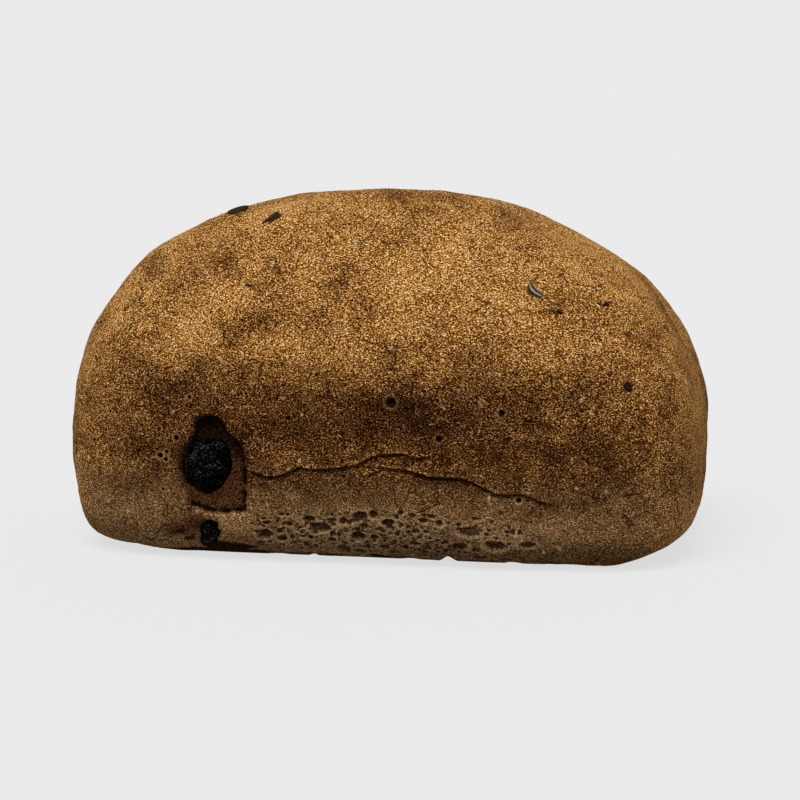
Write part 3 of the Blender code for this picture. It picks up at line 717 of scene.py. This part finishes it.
# Caraway seeds, pressed into the dough before baking: brown curved spindles with five pale ribs, with a
# painted shadow on the crust along their outer edge. Each is x, z, side, heading in degrees, length against a
# whole seed, lift out of the crust and paleness.
SEED_LENGTH = 4.7 * MM
SEED_WIDTH = 1.6 * MM
SEED_BEND = 0.95 * MM
SEED_SUNK = 0.2 * MM
SEED_RIBS = 5
RIB_TURN = 0.45
RIB_HEIGHT = 0.10
SEEDS = [
    (33.4, 53.2, -1, -44, 1.0, 0.0, 1.0), (-21.3, 66.6, -1, 64, 1.15, 0.05, 0.15),
    (-30.8, 67.6, -1, 12, 1.0, 0.4, 0.3), (14, 66, 1, 35, 1.0, 0.0, 0.8),
    (-34, 50, 1, -40, 1.0, 0.0, 1.0), (40, 44, 1, 15, 1.0, 0.0, 0.7), (-8, 38, 1, 75, 1.0, 0.0, 0.9),
]
SEED_SHADE = 0.95
SHADE_SHIFT = 0.6 * MM
SHADE_REACH = 2 * MM


def standing_on(point, normal, heading):
    """A frame with Z out of the crust and X turned by heading, in degrees, from the roll's length."""
    outward_axis = Vector(normal).normalized()
    along = (Vector((1, 0, 0)) - outward_axis * outward_axis.x).normalized()
    turn = Matrix((along, outward_axis.cross(along), outward_axis)).transposed()
    return Matrix.Translation(point) @ turn.to_4x4() @ Matrix.Rotation(math.radians(heading), 4, "Z")


def seed_shade(points):
    """How dark the painted shadow is along the seeds' outer edges."""
    shade = np.zeros(len(points))
    for x, z, side, heading, length, _, _ in SEEDS:
        inwards = np.array(standing_on(*on_form(x, z, side), heading).inverted())
        local = points @ inwards[:3, :3].T + inwards[:3, 3]
        along = local[:, 0] / (SEED_LENGTH / 2 * length)
        aside = (local[:, 1] + SHADE_SHIFT) / (SEED_WIDTH / 2)
        dark = np.exp(-(np.hypot(along, aside) ** 4))
        shade = np.maximum(shade, dark * (np.abs(local[:, 2]) < SHADE_REACH))
    return SEED_SHADE * shade


# Dark places: burnt spots along the base by the small raisin and a few elsewhere on the front, and painted
# shade inside the hollow, the creases, the tears and the pits, beside the seeds and at the foot's edge. Burnt
# sugar stained the dough reddish brown round the raisins.
BURNT = [
    (-29.6, 3.4, 2.4, 1.4, 1.0), (-25.2, 2.7, 5.2, 1.1, 1.0), (-30, 0.8, 12, 1.2, 1.0),
    (-35.6, 5.6, 1.6, 0.3, 0.95), (-33.6, 4.4, 1.5, 0.3, 0.95), (-34.9, 7.1, 0.9, 0.6, 0.6),
    (-22.4, 54.0, 1.0, 0.45, 0.95), (52.1, 35.7, 0.9, 1.2, 0.95), (51.9, 36.0, 1.5, 0.45, 0.8),
    (52.8, 34.9, 0.5, 0.4, 0.7), (47.0, 50.6, 1.1, 0.4, 0.8),
]
CARAMEL = [
    (-34.0, 6.4, 3.2, 1.9, 1.0), (-32.2, 7.6, 2.4, 1.3, 1.0), (-36.6, 5.6, 2.0, 1.2, 1.0),
    (-34.8, 21, 1.1, 3.4, 0.9), (-39.2, 17.7, 1.3, 1.8, 0.7), (-44.9, 56.1, 2.5, 2, 0.4),
    (-30, 8.9, 3.6, 0.5, 0.35), (-36, 19, 2.5, 1.5, 0.35),
]
BURNT_DRIFT = 0.5 * MM
CARAMEL_DRIFT = 0.6 * MM
CARAMEL_EDGE = 0.6 * MM
PATCH_CARAMEL = 0.9
TEAR_SHADE_STRENGTH = 0.68
PIT_SHADE_STRENGTH = 0.8
FOOT_EDGE = 1.7 * MM
FOOT_EDGE_FADE = 0.5 * MM
FOOT_PATCHES = 5 * MM
USUAL_FOOT_EDGE_SHADE = 0.5
FOOT_EDGE_SHADE_CHANGE = 0.9
FOOT_EDGE_SHADE_LIMITS = (0.1, 0.85)


def crisp_spots_at(points, spots, side):
    """Spots like those, with clear edges."""
    strength = np.zeros(len(points))
    for x, z, half_width, half_height, full in spots:
        away = np.hypot((points[:, 0] / MM - x) / half_width, (points[:, 2] / MM - z) / half_height)
        strength = np.maximum(strength, full * smooth_step((1.2 - away) / 0.4))
    return strength * (points[:, 1] * side > 0)


in_patch = smooth_step(inside_patch(form_points) / CARAMEL_EDGE)
# A thin dark line of painted shade runs along the foot's edge, in patches.
foot_edge = smooth_step((FOOT_EDGE - form_points[:, 2]) / FOOT_EDGE_FADE) * (form_points[:, 2] > 0)
foot_patches = USUAL_FOOT_EDGE_SHADE + FOOT_EDGE_SHADE_CHANGE * noise_field(form_points, FOOT_PATCHES, 61)
foot_edge_shade = foot_edge * np.clip(foot_patches, *FOOT_EDGE_SHADE_LIMITS)
burnt_or_shaded = np.maximum(crisp_spots_at(form_points + BURNT_DRIFT * drift, BURNT, -1), patch_shade)
for scorched in (TEAR_SHADE_STRENGTH * tear_shade, foot_edge_shade, seed_shade(form_points), PIT_SHADE_STRENGTH * pit_shade):
    burnt_or_shaded = np.maximum(burnt_or_shaded, scorched)
stained = spots_at(form_points + CARAMEL_DRIFT * drift, CARAMEL, -1)
store(bread, "burnt_or_shaded", burnt_or_shaded)
store(bread, "painted_pore_shade", pore_shade)
store(bread, "caramel", np.maximum(stained, PATCH_CARAMEL * in_patch))


# The crust's finish. Dry pale skin stands in short strokes over darker gaps, everywhere on the crust: the
# pale strokes are partly painted highlight on its fine wrinkles, and the gaps partly painted shade between
# them. Each
# ramp runs from scorched to lightly baked: gaps, the skin's body and pale strokes, on the dome and the sides.
class Shade:
    """A value in a material's nodes. Python's operators on it add Math nodes."""

    def __init__(self, tree, socket=None):
        self.tree = tree
        self.socket = socket

    def node(self, kind, settings, inputs, output=0):
        """Adds a node, sets it up, fills or links its sockets, and gives one of its outputs."""
        node = self.tree.nodes.new(kind)
        for name, value in settings.items():
            if name == "stops":
                stops = node.color_ramp.elements
                for index, (position, colour) in enumerate(value):
                    stop = stops[index] if index < 2 else stops.new(position)
                    stop.position, stop.color = position, colour
            else:
                setattr(node, name, value)
        for place, value in inputs.items():
            if isinstance(value, Shade):
                self.tree.links.new(value.socket, node.inputs[place])
            else:
                node.inputs[place].default_value = value
        return Shade(self.tree, node.outputs[output])

    def maths(self, operation, *values, held=False):
        settings = {"operation": operation, "use_clamp": held}
        return self.node("ShaderNodeMath", settings, dict(enumerate(values)))

    def __add__(self, other):
        return self.maths("ADD", self, other)

    def __sub__(self, other):
        return self.maths("SUBTRACT", self, other)

    def __rsub__(self, other):
        return self.maths("SUBTRACT", other, self)

    def __mul__(self, other):
        return self.maths("MULTIPLY", self, other)

    __radd__ = __add__

    def held(self):
        """The same value, kept from 0 to 1."""
        return self.maths("ADD", self, 0.0, held=True)

    def eased(self, low, high):
        """0 below low, 1 above high, and a smooth step between."""
        steps = {0: self, 1: low, 2: high}
        return self.node("ShaderNodeMapRange", {"interpolation_type": "SMOOTHSTEP"}, steps)

    def blend(self, first, second):
        """The first colour where this value is 0 and the second where it is 1."""
        return self.node("ShaderNodeMix", {"data_type": "RGBA"}, {0: self, 6: first, 7: second}, 2)

    def ramp(self, stops):
        """A colour for each value from 0 to 1, through stops of a value and its colour."""
        return self.node("ShaderNodeValToRGB", {"stops": stops}, {0: self})

    def grain(self, place, scale, detail=2.0, roughness=0.5, distortion=0.0):
        """Cloudy noise, with lumps of about 1 / scale metres."""
        inputs = {"Vector": place, "Scale": scale, "Detail": detail, "Roughness": roughness}
        return self.node("ShaderNodeTexNoise", {}, {**inputs, "Distortion": distortion})

    def stored(self, name):
        return self.node("ShaderNodeAttribute", {"attribute_name": name}, {}, "Fac")

    def place(self):
        return self.node("ShaderNodeTexCoord", {}, {}, "Object")


def new_finish(name, roughness, specular):
    """A material with its Principled shader, and a Shade to build on."""
    material = bpy.data.materials.new(name)
    material.use_nodes = True
    shader = material.node_tree.nodes["Principled BSDF"]
    shader.inputs["Roughness"].default_value = roughness
    shader.inputs["Specular IOR Level"].default_value = specular
    return material, shader, Shade(material.node_tree)


def connect(shade, shader, name):
    shade.tree.links.new(shade.socket, shader.inputs[name])


DOME_SHADED_GAPS = [
    (0.0, (0.005, 0.0007, 0.0001, 1)), (0.3, (0.014, 0.0016, 0.0001, 1)), (0.7, (0.038, 0.0050, 0.0001, 1)),
    (1.0, (0.068, 0.0115, 0.0001, 1)),
]
DOME_BODY = [
    (0.0, (0.038, 0.0110, 0.0012, 1)), (0.3, (0.102, 0.0325, 0.0025, 1)), (0.7, (0.268, 0.100, 0.006, 1)),
    (1.0, (0.405, 0.160, 0.013, 1)),
]
DOME_LIT_STROKES = [
    (0.0, (0.200, 0.105, 0.048, 1)), (0.3, (0.520, 0.300, 0.135, 1)), (0.7, (0.950, 0.595, 0.260, 1)),
    (1.0, (1.000, 0.680, 0.340, 1)),
]
SIDE_SHADED_GAPS = [(0.0, (0.011, 0.0024, 0.0002, 1)), (1.0, (0.085, 0.030, 0.004, 1))]
SIDE_BODY = [(0.0, (0.070, 0.027, 0.005, 1)), (1.0, (0.290, 0.148, 0.052, 1))]
SIDE_LIT_STROKES = [(0.0, (0.250, 0.145, 0.072, 1)), (1.0, (0.680, 0.450, 0.240, 1))]
CARAMEL_GAP = (0.004, 0.0010, 0.0003, 1)
CARAMEL_STROKE = (0.140, 0.052, 0.021, 1)
CELL_WALL = (0.340, 0.215, 0.112, 1)
HOLE_SHADE = (0.034, 0.013, 0.0035, 1)
BURNT_AND_SHADE_GLINT = (0.090, 0.046, 0.026, 1)
BURNT_AND_SHADE_COLOUR = (0.013, 0.0048, 0.0023, 1)
FLOURY = (0.80, 0.56, 0.30, 1)
HAIRLINE = (0.035, 0.011, 0.003, 1)
STRETCH = (0.8, 0.8, 1.25)
SKIN_SCALE = 4200
RAGGED_SCALE = 420
RAGGED_TONE = 0.37
CLUMP_SCALE = 160
CLUMP_TONE = 0.22
MOTTLE_SCALE = 300
MOTTLE_TONE = 0.22
SKIN_MIDDLE = 0.525
SKIN_CONTRAST = 2.5
CELL_SCALE = 1000.0
CELL_WALLS = 0.5
HOLE_SHADING = 0.65
FLOUR_SCALE = 330
FLOUR = 0.45
SWIRL_SCALE = 260.0
SWIRL = 0.0035
HAIRLINE_SCALE = 150.0
HAIRLINE_AREAS = 130
HAIRLINE_DARKNESS = 0.85
SKIN_BUMP = {"skin": 0.16, "ragged": 0.30, "hairline": 0.12, "hole": 0.22}

crust_finish, crust_shader, crust = new_finish("baked_crust", 0.75, 0.0)
place = crust.place()
flattened = crust.node("ShaderNodeVectorMath", {"operation": "MULTIPLY"}, {0: place, 1: STRETCH})
skin_grain = crust.grain(flattened, SKIN_SCALE, 0.0, 0.5, 0.3)
ragged = crust.grain(place, RAGGED_SCALE, 3.0, 0.65)
clumps = crust.grain(place, CLUMP_SCALE, 2.0, 0.6)
mottles = crust.grain(place, MOTTLE_SCALE, 3.0, 0.7).eased(0.57, 0.70)
tone = crust.stored("tone") + (ragged - 0.5) * RAGGED_TONE + (clumps - 0.5) * CLUMP_TONE
tone = (tone - mottles * MOTTLE_TONE).held()
strokes = ((skin_grain - SKIN_MIDDLE + (tone - 0.7) * 0.08) * SKIN_CONTRAST + 0.5).held()
low_part, high_part = (strokes * 2).held(), (strokes * 2 - 1).held()
high_part = high_part * (high_part * 0.5 + 0.5)


def skin_colour(gaps, body, lit_pale_strokes):
    """The crust's colour from its gaps to its pale strokes, by way of its body; gaps and strokes hold painted
    shade and highlight.
    """
    return high_part.blend(low_part.blend(tone.ramp(gaps), tone.ramp(body)), tone.ramp(lit_pale_strokes))


dome_colour = skin_colour(DOME_SHADED_GAPS, DOME_BODY, DOME_LIT_STROKES)
side_colour = skin_colour(SIDE_SHADED_GAPS, SIDE_BODY, SIDE_LIT_STROKES)
colour = crust.stored("pale_side").blend(dome_colour, side_colour)
cell = {"Vector": flattened, "Scale": CELL_SCALE}
cell_edge = crust.node("ShaderNodeTexVoronoi", {"feature": "DISTANCE_TO_EDGE"}, cell)
cell_tint = crust.node("ShaderNodeTexVoronoi", {}, cell, "Color")
cell_chance = crust.node("ShaderNodeSeparateColor", {}, {0: cell_tint})
crumb = crust.stored("crumb")
# The crumb's open holes and the bubbles are painted dark, as shade inside them.
hole = cell_edge.eased(0.08, 0.17) * cell_chance.eased(0.45, 0.60) * crumb
colour = ((1 - cell_edge.eased(0.02, 0.09)) * crumb * CELL_WALLS).blend(colour, CELL_WALL)
colour = (hole * HOLE_SHADING).blend(colour, HOLE_SHADE)
colour = (crust.stored("painted_pore_shade") * (0.85 - strokes * 0.25)).blend(colour, HOLE_SHADE)
colour = crust.stored("pale_rim").blend(colour, CELL_WALL)
floury = (crust.grain(place, FLOUR_SCALE, 2.0, 0.6) + (ragged - 0.5) * 0.4).eased(0.70, 0.78)
colour = (floury * FLOUR).blend(colour, FLOURY)
colour = crust.stored("caramel").blend(colour, strokes.blend(CARAMEL_GAP, CARAMEL_STROKE))
swirl = crust.node("ShaderNodeTexNoise", {}, {"Vector": place, "Scale": SWIRL_SCALE, "Detail": 1.0}, "Color")
swirl = crust.node("ShaderNodeVectorMath", {"operation": "SCALE"}, {0: swirl, "Scale": SWIRL})
swirled = crust.node("ShaderNodeVectorMath", {"operation": "ADD"}, {0: place, 1: swirl})
crack = {"Vector": swirled, "Scale": HAIRLINE_SCALE}
crack_edge = crust.node("ShaderNodeTexVoronoi", {"feature": "DISTANCE_TO_EDGE"}, crack)
cracked_here = crust.grain(place, HAIRLINE_AREAS, 1.0).eased(0.54, 0.58)
hairline = (1 - crack_edge.eased(0.004, 0.026)) * cracked_here
colour = (hairline * HAIRLINE_DARKNESS).blend(colour, HAIRLINE)
# Burnt spots and painted shade take one dark colour, with pale glints painted on the grain's peaks.
burnt_or_shaded_here = (crust.stored("burnt_or_shaded") * 1.15 + (ragged - 0.5) * 0.35).eased(0.15, 0.95)
colour = burnt_or_shaded_here.blend(colour, skin_grain.eased(0.55, 0.80).blend(BURNT_AND_SHADE_COLOUR, BURNT_AND_SHADE_GLINT))
connect(colour, crust_shader, "Base Color")
height = skin_grain * SKIN_BUMP["skin"] + ragged * SKIN_BUMP["ragged"]
height = height - hairline * SKIN_BUMP["hairline"] - hole * SKIN_BUMP["hole"]
bump_inputs = {"Strength": 1.0, "Distance": 1.0 * MM, "Height": height}
connect(crust.node("ShaderNodeBump", {}, bump_inputs), crust_shader, "Normal")
bread.data.materials.append(crust_finish)
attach(bread, "root")
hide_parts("bread")


# The seeds themselves lie on the finished crust, a little sunk into it. They are dry, and most are paler on
# their ribs.
FAINT_RIB = 0.6
RIB_SCALE = 1500
HUSK = (0.055, 0.036, 0.020, 1)
HUSK_RIB = (0.44, 0.35, 0.25, 1)
SCORCHED_HUSK = (0.034, 0.017, 0.007, 1)


def shape_seed(seed, length, paleness):
    """Draws a round ball out to a ribbed spindle, bent like a moon."""
    ball = corners(seed) * 2
    angle = np.arctan2(ball[:, 2], ball[:, 1])
    rib = np.cos(SEED_RIBS * (angle - math.pi / 2 - RIB_TURN))
    swell = 1 + RIB_HEIGHT * rib * (1 - ball[:, 0] ** 2)
    slim = SEED_WIDTH / 2 * swell
    spindle = np.stack([ball[:, 0] * SEED_LENGTH / 2 * length, ball[:, 1] * slim, ball[:, 2] * slim], axis=1)
    spindle[:, 1] += SEED_BEND * ball[:, 0] ** 2
    move_corners(seed, spindle)
    store(seed, "rib", (0.5 + 0.5 * rib) * (FAINT_RIB + (1 - FAINT_RIB) * paleness))
    store(seed, "paleness", np.full(len(ball), paleness))


crust_tree = BVHTree.FromObject(bread, bpy.context.evaluated_depsgraph_get())


def on_crust(x, z, side):
    """Point of the finished crust at x and z, on the front or the back."""
    point, _, _, _ = crust_tree.ray_cast(Vector((x * MM, side * DEPTH, z * MM)), Vector((0, -side, 0)))
    return np.array(point)


seeds = []
for x, z, side, heading, length, lift, paleness in SEEDS:
    deselect_all()
    bpy.ops.mesh.primitive_uv_sphere_add(segments=40, ring_count=18, radius=0.5, rotation=(0, math.pi / 2, 0))
    seed = bpy.context.object
    bpy.ops.object.transform_apply(location=True, rotation=True, scale=True)
    shape_seed(seed, length, paleness)
    _, normal = on_form(x, z, side)
    point = on_crust(x, z, side) + normal * (lift * MM - SEED_SUNK)
    seed.data.transform(standing_on(point, normal, heading))
    seeds.append(seed)
deselect_all()
for seed in seeds:
    seed.select_set(True)
bpy.context.view_layer.objects.active = seeds[0]
bpy.ops.object.join()
caraway = bpy.context.object
caraway.name = caraway.data.name = "caraway_seeds"
caraway.data.shade_smooth()

seed_finish, seed_shader, husk = new_finish("caraway_husk", 0.6, 0.04)
rib_line = (husk.stored("rib") + (husk.grain(husk.place(), RIB_SCALE, 2.0) - 0.5) * 0.5).eased(0.7, 1.0)
dry_husk = rib_line.blend(HUSK, HUSK_RIB)
connect(husk.stored("paleness").blend(SCORCHED_HUSK, dry_husk), seed_shader, "Base Color")
caraway.data.materials.append(seed_finish)
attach(caraway, "root")


# The two raisins in the front sit loose in their beds. They are scorched to charcoal: dented, rough all over
# and nearly black, with fine glints painted into their colour as pale flecks.
RAISIN_DETAIL = {"raisin_front": 7, "raisin_base": 6}
DENT = 0.3 * MM
DENT_SIZE = 3.2 * MM
WRINKLE_SIZE = 1.4 * MM
WRINKLE = 0.10 * MM
CINDER_SIZE = 0.75 * MM
CINDER = 0.15 * MM
CHARCOAL = (0.0006, 0.0005, 0.0004, 1)
GLINT = (0.140, 0.136, 0.118, 1)
GLINT_SCALE = 4200
GLINT_AREAS = 500
CHAR_SCALE = 2000
CHAR_BUMP = 0.35 * MM

raisin_finish, raisin_shader, skin = new_finish("scorched_raisin", 0.3, 0.008)
# Pale flecks painted into the colour stand for glints of light.
gathered = (skin.grain(skin.place(), GLINT_AREAS, 1.0) - 0.5) * 0.35
painted_glints = (skin.grain(skin.place(), GLINT_SCALE, 1.0, 0.5) + gathered).eased(0.62, 0.78)
connect(painted_glints.blend(CHARCOAL, GLINT), raisin_shader, "Base Color")
char = {"Strength": 1.0, "Distance": CHAR_BUMP, "Height": skin.grain(skin.place(), CHAR_SCALE, 2.0, 0.6)}
connect(skin.node("ShaderNodeBump", {}, char), raisin_shader, "Normal")

for node in RAISIN_OUTLINES:
    middle, halves = raisin_seat(node)
    deselect_all()
    bpy.ops.mesh.primitive_ico_sphere_add(subdivisions=RAISIN_DETAIL[node] - 1, radius=1)
    raisin = bpy.context.object
    raisin.name = raisin.data.name = node + "_skin"
    ball = corners(raisin)
    lump = ball * halves
    lump[:, [0, 2]] = ball[:, [0, 2]] * raisin_reach(node, ball[:, 0], ball[:, 2])[:, None]
    dents = noise_field(lump, DENT_SIZE, 2.7) * DENT
    wrinkles = (1 - 3 * np.abs(noise_field(lump, WRINKLE_SIZE, 8.1))) * WRINKLE
    cinders = noise_field(lump, CINDER_SIZE, 4.4) * CINDER
    lump += ball * (dents + wrinkles + cinders)[:, None]
    move_corners(raisin, lump + middle)
    raisin.data.shade_smooth()
    raisin.data.materials.append(raisin_finish)
    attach(raisin, "root")
    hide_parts(node)


# The table and the light: a pale paper sweep, one large soft light high in front, and weak fills at both
# sides and behind.
TABLE_SIZE = 60
PAPER_WHITE = (0.12, 0.12, 0.12, 1)
PAPER_GLOW = 0.684
BACKDROP = 0.83
ROOM_GLOW = 0.10
TABLE_GLOW = 0.32
KEY = {"strength": 3.1, "softness": 45, "azimuth": -10, "elevation": 58}
LEFT_FILL = {"strength": 0.7, "softness": 80, "azimuth": -85, "elevation": 6}
RIGHT_FILL = {"strength": 0.95, "softness": 80, "azimuth": 85, "elevation": 6}
BACK_FILL = {"strength": 1.3, "softness": 80, "azimuth": 176, "elevation": 20}

deselect_all()
bpy.ops.mesh.primitive_plane_add(size=TABLE_SIZE, location=(0, 0, 0))
table = bpy.context.object
table.name = "table"
paper, paper_shader, _ = new_finish("pale_paper", 0.9, 0.0)
paper_shader.inputs["Base Color"].default_value = PAPER_WHITE
paper_shader.inputs["Emission Color"].default_value = (1, 1, 1, 1)
paper_shader.inputs["Emission Strength"].default_value = PAPER_GLOW
table.data.materials.append(paper)
table.visible_diffuse = False

# The backdrop is as bright as the table. What lights the roll is dimmer: a grey room, and the table's glow
# from below.
world = bpy.data.worlds.new("studio")
bpy.context.scene.world = world
world.use_nodes = True
background = world.node_tree.nodes["Background"]
background.inputs["Color"].default_value = (1, 1, 1, 1)
sky = Shade(world.node_tree)
seen = sky.node("ShaderNodeLightPath", {}, {}, "Is Camera Ray")
towards = sky.node("ShaderNodeSeparateXYZ", {}, {0: sky.node("ShaderNodeTexCoord", {}, {}, "Generated")}, "Z")
glow = ROOM_GLOW + (1 - towards.eased(-0.25, 0.05)) * (TABLE_GLOW - ROOM_GLOW)
connect(glow + seen * (BACKDROP - glow), background, "Strength")


def direction(azimuth, elevation):
    """Unit vector from the roll towards this azimuth, measured from the front, and elevation, in degrees."""
    turn, rise = math.radians(azimuth), math.radians(elevation)
    return Vector((math.sin(turn) * math.cos(rise), -math.cos(turn) * math.cos(rise), math.sin(rise)))


for light in (KEY, LEFT_FILL, RIGHT_FILL, BACK_FILL):
    bpy.ops.object.light_add(type="SUN")
    sun = bpy.context.object
    sun.data.energy = light["strength"]
    sun.data.angle = math.radians(light["softness"])
    towards_light = direction(light["azimuth"], light["elevation"])
    sun.rotation_euler = towards_light.to_track_quat("Z", "Y").to_euler()


# The camera stands close in front, a little to the right of the middle and a little above it.
CAMERA_AZIMUTH = 11
CAMERA_ELEVATION = 7
CAMERA_DISTANCE = 424.5 * MM
CAMERA_TARGET = Vector((0.83, 0, 27.6)) * MM
LENS = 90
SENSOR = 36
towards_camera = direction(CAMERA_AZIMUTH, CAMERA_ELEVATION)
bpy.ops.object.camera_add(location=CAMERA_TARGET + towards_camera * CAMERA_DISTANCE)
camera = bpy.context.object
camera.rotation_euler = towards_camera.to_track_quat("Z", "Y").to_euler()
camera.data.lens = LENS
camera.data.sensor_width = SENSOR
camera.data.clip_start = 10 * MM
bpy.context.scene.camera = camera
bpy.context.scene.view_settings.view_transform = "Standard"
